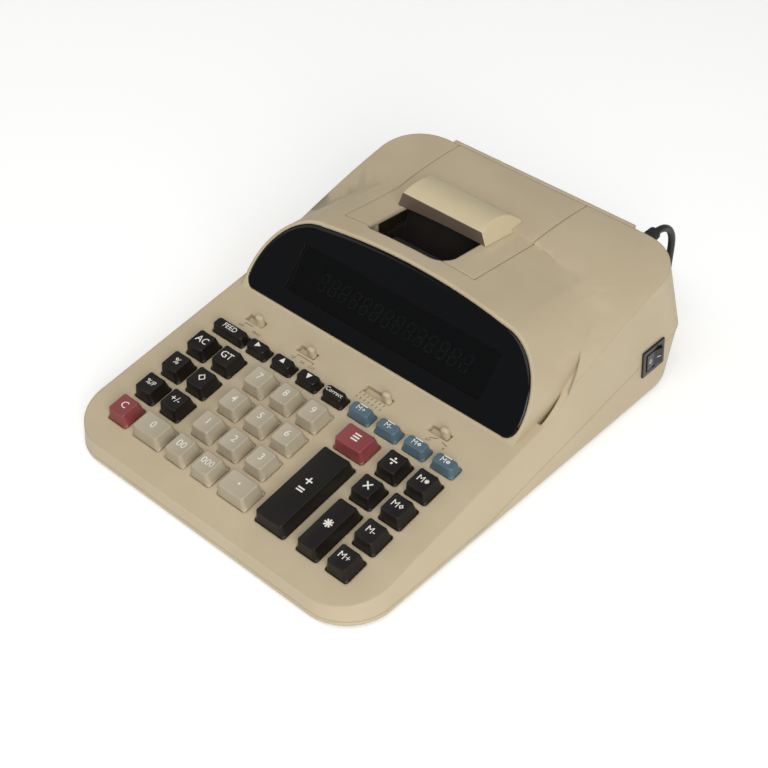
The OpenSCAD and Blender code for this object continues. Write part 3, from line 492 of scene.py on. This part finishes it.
def knob_rounds(middle, turn, one, two):
    """Widths of the roundings on a slide: all its edges above the deck, which make it a soft fin."""
    return np.where((turn > EDGE_TURN) & (deck_axes(middle)[:, 2] > ABOVE_DECK), KNOB_ROUND, 0.0)


for slide in ("slide_print", "slide_round", "slide_decimal", "slide_total"):
    finish_with(rounded_copy(slide, slide + "_knob", knob_rounds, 4), "case_plastic", case_abs)


def printing_ink(name, worn_colour, colour):
    """Screen-printed ink: a matt film, a little thin where it has worn."""
    material, tree = empty_material(name)
    place = add(tree, "ShaderNodeTexCoord")
    worn = add(tree, "ShaderNodeTexNoise", {"Scale": every(1.43), "Detail": 3.0},
               {"Vector": (place, "Object")})
    inked = add(tree, "ShaderNodeValToRGB", links={"Fac": (worn, "Fac")})
    for stop, tone in zip(inked.color_ramp.elements, (worn_colour, colour)):
        stop.color = linear(tone)
    ink = add(tree, "ShaderNodeBsdfPrincipled", {"Roughness": 0.6}, {"Base Color": (inked, 0)})
    add(tree, "ShaderNodeOutputMaterial", links={"Surface": (ink, 0)})
    return material


def turned(points, degrees):
    """Flat points turned about the origin."""
    cos, sin = np.cos(radians(degrees)), np.sin(radians(degrees))
    return points @ np.array([[cos, sin], [-sin, cos]])


def bar(x, y, length, width, degrees=0):
    """A straight printed stroke: a rectangle about its middle, turned by an angle."""
    corners = np.array([[-1, -1], [1, -1], [1, 1], [-1, 1]]) * [length / 2, width / 2]
    return [(turned(corners, degrees) + [x, y], [(0, 1, 2, 3)])]


def letters(words, size, x=0.0, y=0.0, bold=0.004):
    """Printed letters: the outlines of plain characters, filled, centred at a place."""
    curve = bpy.data.curves.new("letters", "FONT")
    curve.body, curve.size = words, size
    curve.align_x, curve.align_y = "CENTER", "CENTER"
    curve.offset, curve.resolution_u = bold * size, 3
    holder = bpy.data.objects.new("letters", curve)
    scene.collection.objects.link(holder)
    mesh = bpy.data.meshes.new_from_object(holder.evaluated_get(bpy.context.evaluated_depsgraph_get()))
    points = np.empty(3 * len(mesh.vertices))
    mesh.vertices.foreach_get("co", points)
    faces = [tuple(face.vertices) for face in mesh.polygons]
    bpy.data.objects.remove(holder)
    bpy.data.curves.remove(curve)
    bpy.data.meshes.remove(mesh)
    flat = points.reshape(-1, 3)[:, :2]
    middle = (flat.min(0) + flat.max(0)) / 2
    return [(flat - middle + [x, y], faces)]


def joined(parts):
    """The points and faces of several printed shapes as one."""
    starts = np.cumsum([0] + [len(part[0]) for part in parts])
    return (np.concatenate([part[0] for part in parts]),
            [tuple(int(start) + i for i in face) for start, part in zip(starts, parts) for face in part[1]])


INK, WORD, STROKE = 0.05, 2.4, 0.45
TICKS, TICK_X, TICK_PITCH, TICK_L, TICK_ROWS = 7, 12.2, 2.92, 1.8, (116.5, 113.4)
brown_ink = printing_ink("deck_brown_ink", "#6E5A47", "#5B4837")
# words and strokes by their places across and along the deck, strokes with their length and angle
WORDS = (("OFF", -80.0, 113.4), ("PRINT", -67.5, 113.4), ("UP", -37.0, 113.2), ("5/4", -30.0, 113.2),
         ("CUT", -23.0, 113.2), ("GT", 64.5, 113.2), ("K", 75.5, 113.2))
STROKES = ((-76.0, 116.2, 6.0, 0), (-79.0, 115.6, 1.4, 90), (-30.0, 116.3, 12.0, 0), (-36.0, 115.7, 1.4, 90),
           (-24.0, 115.7, 1.4, 90), (66.3, 115.9, 5.0, 25), (73.8, 115.9, 4.4, -12))
marks = []
for word, x, s in WORDS:
    marks += letters(word, WORD, x, s)
for x, s, length, degrees in STROKES:
    marks += bar(x, s, length, STROKE, degrees)
for tick in range(TICKS):
    for s in TICK_ROWS:
        marks += bar(TICK_X + tick * TICK_PITCH, s, TICK_L, STROKE, 90)
mark_points, mark_faces = joined(marks)
deck_marks = flat_piece("deck_printed_marks", from_deck(mark_points[:, 0], mark_points[:, 1],
                                                        np.full(len(mark_points), INK)), mark_faces, "case")
finish_with(deck_marks, "case_plastic", brown_ink)


# Keys: 38 tapered caps of double-shot ABS, hollowed along the top for the finger, each
# with a skirt through the deck, a flange below it and a stem. White legends are printed on.
# ABS for keys: a finer grain than the case, slightly polished by fingers
key_plastics = {
    "number_key": moulded_plastic("key_grey_abs", "#B5AA93", "#ADA28B", 0.42, 0.7, 0.04),
    "black_key": moulded_plastic("key_black_abs", "#181411", "#120E0C", 0.4, 0.7, 0.04, 0.3),
    "red_key": moulded_plastic("key_red_abs", "#8C4143", "#833B3D", 0.4, 0.7, 0.04),
    "blue_key": moulded_plastic("key_blue_abs", "#526B79", "#4B626F", 0.42, 0.7, 0.04),
}
white_ink = printing_ink("legend_white_ink", "#D9D5C9", "#F1EEE6")


def disc(x, y, radius):
    """A printed dot: twelve points round a circle."""
    angle = np.arange(12) * np.pi / 6
    return [(np.stack([np.cos(angle), np.sin(angle)], 1) * radius + [x, y], [tuple(range(12))])]


def arrow(degrees):
    """A filled triangle that points along an angle."""
    return [(turned(np.array([[-1.6, -1.9], [2.0, 0], [-1.6, 1.9]]), degrees), [(0, 1, 2)])]


def diamond(x, y, size):
    """The outline of a square on its corner, as a ring of four quads."""
    ring = np.array([[1, 0], [0, 1], [-1, 0], [0, -1]])
    points = np.concatenate([ring * size, ring * (size - 0.85)]) + [x, y]
    return [(points, [(i, (i + 1) % 4, 4 + (i + 1) % 4, 4 + i) for i in range(4)])]


def star(x, y, length, width):
    """Four strokes crossing at one point."""
    return [part for degrees in (0, 45, 90, 135) for part in bar(x, y, length, width, degrees)]


TEXT = 6.4
LEGENDS = {"key_clear": letters("C", TEXT), "key_percent_print": letters("%/P", 4.6),
           "key_percent": letters("%", 6), "key_all_clear": letters("AC", TEXT),
           "key_sign": letters("+/-", 6), "key_subtotal": diamond(0, 0, 2.6),
           "key_grand_total": letters("GT", TEXT), "key_00": letters("00", TEXT),
           "key_000": letters("000", 5.8), "key_point": disc(0, 0, 0.8),
           "key_plus_equals": bar(0, 3.6, 4.6, 0.95) + bar(0, 3.6, 4.6, 0.95, 90)
           + bar(0, -2.2, 4.6, 0.95) + bar(0, -3.9, 4.6, 0.95),
           "key_minus_equals": bar(0, 1.9, 4.6, 0.95) + bar(0, 0, 4.6, 0.95) + bar(0, -1.9, 4.6, 0.95),
           "key_total": star(0, 0, 5.4, 0.95),
           "key_multiply": bar(0, 0, 5.6, 0.9, 45) + bar(0, 0, 5.6, 0.9, 135),
           "key_divide": bar(0, 0, 5, 0.9) + disc(0, 1.8, 0.75) + disc(0, -1.8, 0.75),
           "key_feed": letters("FEED", 4.8), "key_right": arrow(0), "key_up": arrow(90),
           "key_down": arrow(270), "key_correct": letters("Correct", 3.7)}
LEGENDS.update({"key_%d" % n: letters(str(n), TEXT) for n in range(10)})
for memory, size, line in (("m1", 5.6, False), ("m2", 4.6, True)):
    over = bar(0, 2.5, 5.2, 0.55) if line else []
    left, right = -0.28 * size, 0.42 * size
    LEGENDS["key_" + memory + "_plus"] = letters("M+", size, bold=0.0) + over
    LEGENDS["key_" + memory + "_minus"] = letters("M-", size, bold=0.0) + over
    letter = letters("M", size, left, bold=0.0)
    LEGENDS["key_" + memory + "_subtotal"] = letter + diamond(right, 0, 0.27 * size) + over
    LEGENDS["key_" + memory + "_total"] = letter + star(right, 0, 0.5 * size, 0.6) + over

KEY_SLOTS = {"key_clear": "red_key", "key_minus_equals": "red_key"}
KEY_SLOTS.update({"key_%d" % n: "number_key" for n in range(10)})
KEY_SLOTS.update({name: "number_key" for name in ("key_00", "key_000", "key_point")})
KEY_SLOTS.update({"key_m2_" + name: "blue_key" for name in ("plus", "minus", "subtotal", "total")})
SHALLOW = ("key_feed", "key_right", "key_up", "key_down", "key_correct")
DISH_DEPTH, KEY_TAPER, KEY_H, CAP_BASE, SKIRT = 0.7, 1.6, 8.3, 0.3, 1.2
CAP_ROUND, CAP_ABOVE, LEGEND_BACK, SHALLOW_BACK = 0.6, 2.5, 0.8, 0.4


def cap_rounds(middle, turn, one, two):
    """Widths of the roundings on a key: its edges well above the deck."""
    return np.where((turn > EDGE_TURN) & (deck_axes(middle)[:, 2] > CAP_ABOVE), CAP_ROUND, 0.0)


for key, legend in LEGENDS.items():
    slot = KEY_SLOTS.get(key, "black_key")
    finish_with(rounded_copy(key, key + "_cap", cap_rounds), slot, key_plastics[slot])
    corners = np.empty(3 * len(frame["nodes"][key].data.vertices))
    frame["nodes"][key].data.vertices.foreach_get("co", corners)
    corners = deck_axes(corners.reshape(-1, 3) / MM)
    low, high = corners.min(0), corners.max(0)
    points, faces = joined(legend)
    dished = slot != "blue_key" and key not in SHALLOW
    top_w = high[0] - low[0] - 2 * SKIRT - 2 * (KEY_H - CAP_BASE) * KEY_TAPER / KEY_H
    hollow = top_w ** 2 / (8 * DISH_DEPTH) + DISH_DEPTH / 2
    sag = hollow - np.sqrt(hollow ** 2 - points[:, 0] ** 2) - DISH_DEPTH if dished else np.zeros(len(points))
    top = KEY_H if dished else high[2]
    back = LEGEND_BACK if dished else SHALLOW_BACK
    on_key = from_deck(points[:, 0] + (low[0] + high[0]) / 2, points[:, 1] + (low[1] + high[1]) / 2 + back,
                       top + sag + INK)
    printed = flat_piece(key + "_legend", on_key, faces, frame["nodes"][key]["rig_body"])
    finish_with(printed, slot, white_ink)


# Power switch: a black rocker in a snap-in housing on the right-hand wall, near the rear.
# Both are moulded in glossy PBT, and the rocker carries white off and on marks.
switch_pbt = moulded_plastic("switch_moulded_pbt", "#1A1918", "#141312", 0.32, 0.6, 0.02)
finish_with(rounded_copy("switch_housing", "power_switch_housing", 0.5), "switch_plastic", switch_pbt)
finish_with(rounded_copy("power_rocker", "power_switch_rocker", 0.4), "switch_plastic", switch_pbt)
# the marks lie on the rocker's two flats, which rise from its middle; it stands tipped to one side,
# and its housing is tucked a little into the leaning wall
ROCKER_TIP, ROCKER_HALF, ROCKER_LOW, ROCKER_RISE, TUCK = radians(7), 6.75, 1.4, 1.2, 0.08
ring_angle = np.arange(16) * np.pi / 8
ring = np.stack([np.cos(ring_angle), np.sin(ring_angle)], 1)
off_mark = [(np.concatenate([ring * [1.15, 1.55], ring * [0.6, 1.0]]) + [-3.6, 0],
             [(i, (i + 1) % 16, 16 + (i + 1) % 16, 16 + i) for i in range(16)])]
rocker_marks, rocker_faces = joined(off_mark + bar(3.6, 0, 2.6, 0.5))
along, tall = rocker_marks.T
out = ROCKER_LOW + ROCKER_RISE * np.abs(along) / ROCKER_HALF + 2 * INK
tipped = out * np.cos(ROCKER_TIP) + along * np.sin(ROCKER_TIP)
along = along * np.cos(ROCKER_TIP) - out * np.sin(ROCKER_TIP)
wall_lean = np.arctan(LEAN)
wall_x = BODY_HALF - TUCK - SWITCH_Z * LEAN
on_rocker = np.stack([wall_x + tipped * np.cos(wall_lean) - tall * np.sin(wall_lean), SWITCH_Y + along,
                      SWITCH_Z + tipped * np.sin(wall_lean) + tall * np.cos(wall_lean)], 1)
switch_marks = flat_piece("power_switch_marks", on_rocker * MM, rocker_faces, "power_rocker")
finish_with(switch_marks, "switch_plastic", white_ink)


# Mains lead: a round black PVC flex through a ribbed strain relief in the rear wall. Its
# spare length is wound behind the machine in a round coil with a tie, and ends in a two-pin plug.
CORD_D, PITCH, FLOOR_GAP = 4.5, 5.1, 0.05
route = np.array([
    [68, 155, 64.8], [68, 160, 65.2], [68, 165, 65.4], [68, 171.2, 64.4], [68, 176.8, 61.6],
    [68, 181.2, 57.2], [68, 184, 51.6], [68, 185, 45.4], [68, 185, 38], [68, 185, 30],
    [68, 185, 22.3], [67.3, 184.3, 16.1], [65.3, 182.3, 10.5], [62.2, 179.2, 6.1], [58.2, 175.2, 3.3],
    [53.9, 170.9, 2.3], [51, 168, 2.3]])
COIL_X, COIL_Y, COIL_R, LAYERS, COIL_START, COIL_END = 25.0, 182.0, 24.5, 4, -45.0, -100.0
turns = 8 + (COIL_START - COIL_END) / 360
layer_turns = (turns - 0.5 * (LAYERS - 1)) / LAYERS
outer_r = COIL_R + PITCH * layer_turns / 2
inner_r = outer_r - PITCH * layer_turns


def coil_points(u):
    """The coil after u turns: layers wind in and out by turns, and each half turn where the
    winding reverses climbs to the next layer."""
    layer = np.minimum(LAYERS - 1, np.floor(u / (layer_turns + 0.5)))
    within = u - layer * (layer_turns + 0.5)
    inward = layer % 2 == 0
    past = PITCH * (0.25 - np.abs(within - layer_turns - 0.25))
    winding = np.where(inward, outer_r - PITCH * within, inner_r + PITCH * within)
    turning = np.where(inward, inner_r - past, outer_r + past)
    radius = np.where(within < layer_turns, winding, turning)
    climb = (1 - np.cos(2 * np.pi * (within - layer_turns))) / 2
    height = np.where(within < layer_turns, layer, layer + climb)
    angle = np.radians(COIL_START - 360 * u)
    return np.stack([COIL_X + radius * np.cos(angle), COIL_Y + radius * np.sin(angle),
                     CORD_D / 2 + FLOOR_GAP + PITCH * height], 1)


def heading(degrees):
    """The way the winding runs at an angle round the coil."""
    return np.array([np.sin(radians(degrees)), -np.cos(radians(degrees)), 0])


wound = coil_points(np.linspace(0, turns, int(np.ceil(turns * 24)) + 1))
into_coil = wound[0] - CORD_D * heading(COIL_START)
TAIL_LEVEL, TAIL_FALL, PLUG_Z = 20.0, 46.0, 7.4
share = np.linspace(0, 1, 8)[:, None]
tail = wound[-1] + (TAIL_LEVEL + TAIL_FALL * share) * heading(COIL_END)
tail[:, 2:] += (PLUG_Z - wound[-1, 2]) * (1 - np.cos(np.pi * share)) / 2
straight = wound[-1] + TAIL_LEVEL / 2 * heading(COIL_END)
lead = np.vstack([route, into_coil, wound, straight, tail, tail[-1] + CORD_D * heading(COIL_END)])


def smooth_path(points, parts):
    """A curve through points, each span cut into parts: a Catmull-Rom cubic, whose slope at a
    point is that of the line between its neighbours."""
    ends = np.vstack([2 * points[0] - points[1], points, 2 * points[-1] - points[-2]])
    t = (np.arange(parts) / parts)[None, :, None]
    a, b, c, d = (ends[i:len(ends) - 3 + i, None, :] for i in range(4))
    spans = 0.5 * (2 * b + (c - a) * t + (2 * a - 5 * b + 4 * c - d) * t ** 2
                   + (3 * b - a - 3 * c + d) * t ** 3)
    return np.vstack([spans.reshape(-1, 3), points[-1:]])


def tube(path, radius, sides):
    """Rings square to a path, joined into a closed tube; each ring's sides start from a side
    direction that leans from level to upright along the way."""
    run = np.gradient(path, axis=0)
    run /= np.linalg.norm(run, axis=1)[:, None]
    lean = np.clip((np.arange(len(path)) / len(path) - 0.02) / 0.03, 0, 1)[:, None]
    aside = np.cross(run, (1 - lean) * [1.0, 0, 0] + lean * [0, 0, 1.0])
    aside /= np.linalg.norm(aside, axis=1)[:, None]
    up = np.cross(run, aside)
    angle = np.arange(sides) * 2 * np.pi / sides
    rings = path[:, None] + radius * (np.cos(angle)[None, :, None] * aside[:, None]
                                      + np.sin(angle)[None, :, None] * up[:, None])
    i, k = np.meshgrid(np.arange(len(path) - 1), np.arange(sides), indexing="ij")
    nxt = (k + 1) % sides
    quads = np.stack([i * sides + k, i * sides + nxt, (i + 1) * sides + nxt, (i + 1) * sides + k], -1)
    last = (len(path) - 1) * sides
    caps = [tuple(range(sides))[::-1], tuple(range(last, last + sides))]
    return rings, quads.reshape(-1, 4).tolist() + caps


# PVC: black and half matt, scuffed lighter where it drags
pvc, tree = empty_material("lead_black_pvc")
place = add(tree, "ShaderNodeTexCoord")
scuff = add(tree, "ShaderNodeTexNoise", {"Scale": every(4.55), "Detail": 4.0}, {"Vector": (place, "Object")})
scuffed = add(tree, "ShaderNodeValToRGB", links={"Fac": (scuff, "Fac")})
for stop, tone in zip(scuffed.color_ramp.elements, ("#141414", "#1E1D1C")):
    stop.color = linear(tone)
softened = add(tree, "ShaderNodeMapRange", {"To Min": 0.4, "To Max": 0.6}, {"Value": (scuff, "Fac")})
flex = add(tree, "ShaderNodeBsdfPrincipled", {"IOR": 1.53},
           {"Base Color": (scuffed, 0), "Roughness": (softened, 0)})
add(tree, "ShaderNodeOutputMaterial", links={"Surface": (flex, 0)})
lead_path = smooth_path(lead, 3)
lead_rings, lead_faces = tube(lead_path * MM, CORD_D / 2 * MM, 14)
mains_lead = flat_piece("mains_lead", lead_rings, lead_faces, "case")
mains_lead.data.polygons.foreach_set("use_smooth", np.ones(len(lead_faces), bool))
finish_with(mains_lead, "cord_rubber", pvc)
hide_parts("power_cord", "cord_coil")
finish_with(rounded_copy("strain_relief", "lead_strain_relief", 0.3), "cord_rubber", pvc)
plug = rounded_copy("plug", "mains_plug", 0.8)
finish_with(plug, "cord_rubber", pvc, zinc)
# the plug's flat front and its two pins are bare metal
PLUG_BOOT, PLUG_L, PLUG_LAP, PIN_MARGIN = 14.0, 30.0, 2.0, 0.05
PIN_START = TAIL_LEVEL + TAIL_FALL + PLUG_BOOT + PLUG_L - PLUG_LAP + PIN_MARGIN
centres = np.empty(3 * len(plug.data.polygons))
plug.data.polygons.foreach_get("center", centres)
beyond = (centres.reshape(-1, 3) / MM - wound[-1]) @ heading(COIL_END) > PIN_START
plug.data.polygons.foreach_set("material_index", beyond.astype(np.int32))

# a thin strap round the whole bundle: a rounded rectangle in the plane through the coil's axis
TIE_ANGLE, TIE_W, TIE_T, TIE_STEPS = 110.0, 5.0, 0.6, 64
TIE_SLACK, TIE_RISE, TIE_SQUARE, TIE_INNER_FLOOR, TIE_OUTER_FLOOR = 0.4, 0.5, 0.2, 0.04, 0.01
angle = np.arange(TIE_STEPS) * 2 * np.pi / TIE_STEPS
square = [np.sign(part) * np.abs(part) ** TIE_SQUARE for part in (np.cos(angle), np.sin(angle))]
tie_half = (outer_r - inner_r) / 2 + CORD_D / 2 + TIE_SLACK
tie_top = CORD_D + FLOOR_GAP + PITCH * (LAYERS - 1) + TIE_RISE
tie_r = COIL_R + square[0] * (tie_half + np.array([[0], [TIE_T]]))
tie_z = tie_top / 2 + square[1] * (tie_top / 2 + np.array([[0], [TIE_T]]))
tie_z = np.maximum(tie_z, np.array([[TIE_INNER_FLOOR], [TIE_OUTER_FLOOR]]))
away = np.array([np.cos(radians(TIE_ANGLE)), np.sin(radians(TIE_ANGLE)), 0])
middle_line = np.array([COIL_X, COIL_Y, 0]) + tie_r[..., None] * away + tie_z[..., None] * [0, 0, 1.0]
sides = TIE_W / 2 * heading(TIE_ANGLE)
inner, outer = middle_line
strap = np.stack([inner - sides, inner + sides, outer + sides, outer - sides], 1)
i, k = np.meshgrid(np.arange(TIE_STEPS), np.arange(4), indexing="ij")
step, turn = (i + 1) % TIE_STEPS, (k + 1) % 4
strap_faces = np.stack([i * 4 + k, i * 4 + turn, step * 4 + turn, step * 4 + k], -1).reshape(-1, 4)
tie = flat_piece("lead_coil_tie", strap * MM, strap_faces.tolist(), "case")
finish_with(tie, "cord_rubber", pvc)
